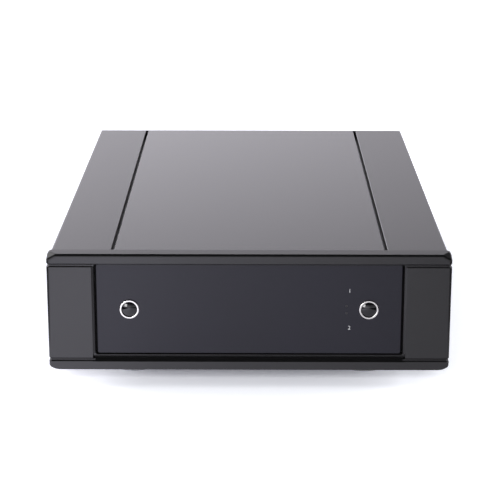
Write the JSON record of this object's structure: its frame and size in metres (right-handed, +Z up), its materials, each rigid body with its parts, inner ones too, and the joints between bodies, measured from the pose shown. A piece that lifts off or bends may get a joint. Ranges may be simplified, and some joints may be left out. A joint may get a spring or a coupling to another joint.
{
  "type": "phono preamp",
  "caption": "Low black hi-fi box for a record player: recessed front panel with push buttons, grooved sleeve cover, rubber feet, boards and transformer inside, phono sockets behind.",
  "frame": {"origin": "on the surface it stands on, under the middle of its overall box", "axes": "+Z up, the front faces -Y, +X to the right seen from the front"},
  "size_m": [0.216, 0.333, 0.0756],
  "materials": {
    "black_casting": "fine satin black powder coat",
    "black_sheet": "fine satin black powder coat",
    "black_extrusion": "satin black anodised",
    "panel": "fine satin black anodised",
    "black_gloss": "polished",
    "bright_ring": "polished",
    "foot_rubber": "matt",
    "black_plastic": "fine moulded",
    "relay_plastic": "moulded",
    "film_plastic": "dipped",
    "can_sleeve": "shrink sleeve",
    "slider_white": "moulded",
    "insert_white": "moulded",
    "insert_red": "moulded",
    "gold": "plated",
    "black_steel": "blackened",
    "bright_steel": "zinc plated",
    "board_green": "solder mask",
    "winding_tape": "taped enamelled wire",
    "pad_rubber": "matt",
    "sink": "black anodised",
    "wire_blue": "insulation",
    "wire_green": "insulation",
    "wire_red": "insulation",
    "ribbon_grey": "insulation",
    "lamp": "clear tinted",
    "fuse_body": "glazed, plated caps"
  },
  "bodies": {
    "case": {"front_bezel": "black_casting", "base_tray": "black_sheet", "rear_panel": "black_sheet", "top_cover": "black_extrusion", "front_panel": "panel", "power_ring": "bright_ring", "selector_ring": "bright_ring", "feet": "foot_rubber", "mains_inlet": "black_plastic", "socket_blocks": "black_plastic", "load_switches": "black_plastic", "headers": "black_plastic", "push_switches": "black_plastic", "amplifier_chips": "black_plastic", "transistors": "black_plastic", "bridge_rectifier": "black_plastic", "post_bush": "black_plastic", "relays": "relay_plastic", "film_capacitors": "film_plastic", "electrolytic_capacitors": "can_sleeve", "left_inserts": "insert_white", "right_inserts": "insert_red", "socket_shells": "gold", "ground_post": "gold", "post_nut": "gold", "inlet_blades": "gold", "bezel_screws": "black_steel", "cover_screws": "black_steel", "rear_screws": "black_steel", "foot_screws": "black_steel", "board_screws": "bright_steel", "control_screws": "bright_steel", "foot_nuts": "bright_steel", "transformer_bolt": "bright_steel", "transformer_nut": "bright_steel", "transformer_clamp": "bright_steel", "power_spring": "bright_steel", "selector_spring": "bright_steel", "board_standoffs": "bright_steel", "control_spacers": "bright_steel", "main_board": "board_green", "control_board": "board_green", "transformer_winding": "winding_tape", "transformer_pads": "pad_rubber", "heat_sink": "sink", "regulators": "sink", "mains_leads": "wire_blue", "earth_leads": "wire_green", "secondary_leads": "wire_red", "ribbon_cable": "ribbon_grey", "indicator_leds": "lamp", "light_pipes": "lamp"},
    "power_key": {"power_button": "black_gloss"},
    "selector_key": {"selector_button": "black_gloss"},
    "drawer": {"fuse_drawer": "black_plastic", "fuse": "fuse_body"},
    "washer": {"ground_washer": "gold"},
    "nut": {"thumb_nut": "gold"},
    "slider_1": {"load_slider_1": "slider_white"},
    "slider_2": {"load_slider_2": "slider_white"}
  },
  "joints": [
    {"name": "power_press", "type": "slide", "parent": "case", "child": "power_key", "axis": [0, 1, 0], "range_m": [0, 0.002], "stiffness_N_per_m": 400, "springref_m": -0.001, "deforming": ["power_spring"]},
    {"name": "selector_press", "type": "slide", "parent": "case", "child": "selector_key", "axis": [0, 1, 0], "range_m": [0, 0.002], "stiffness_N_per_m": 400, "springref_m": -0.001, "deforming": ["selector_spring"]},
    {"name": "drawer_slide", "type": "slide", "parent": "case", "child": "drawer", "axis": [0, 1, 0], "range_m": [0, 0.014]},
    {"name": "washer_slide", "type": "slide", "parent": "case", "child": "washer", "axis": [0, 1, 0], "range_m": [0, 0.0035]},
    {"name": "nut_turn", "type": "hinge", "parent": "washer", "child": "nut", "pos_m": [0.04275, 0.1515, 0.041], "axis": [0, 1, 0], "range_deg": [0, 1800]},
    {"name": "load_slide_1", "type": "slide", "parent": "case", "child": "slider_1", "axis": [0, 0, 1], "range_m": [0, 0.004]},
    {"name": "load_slide_2", "type": "slide", "parent": "case", "child": "slider_2", "axis": [0, 0, 1], "range_m": [0, 0.004]}
  ],
  "couplings": [
    {"joint": "nut_turn", "follows": "washer_slide", "rad_per_m": 8976}
  ]
}
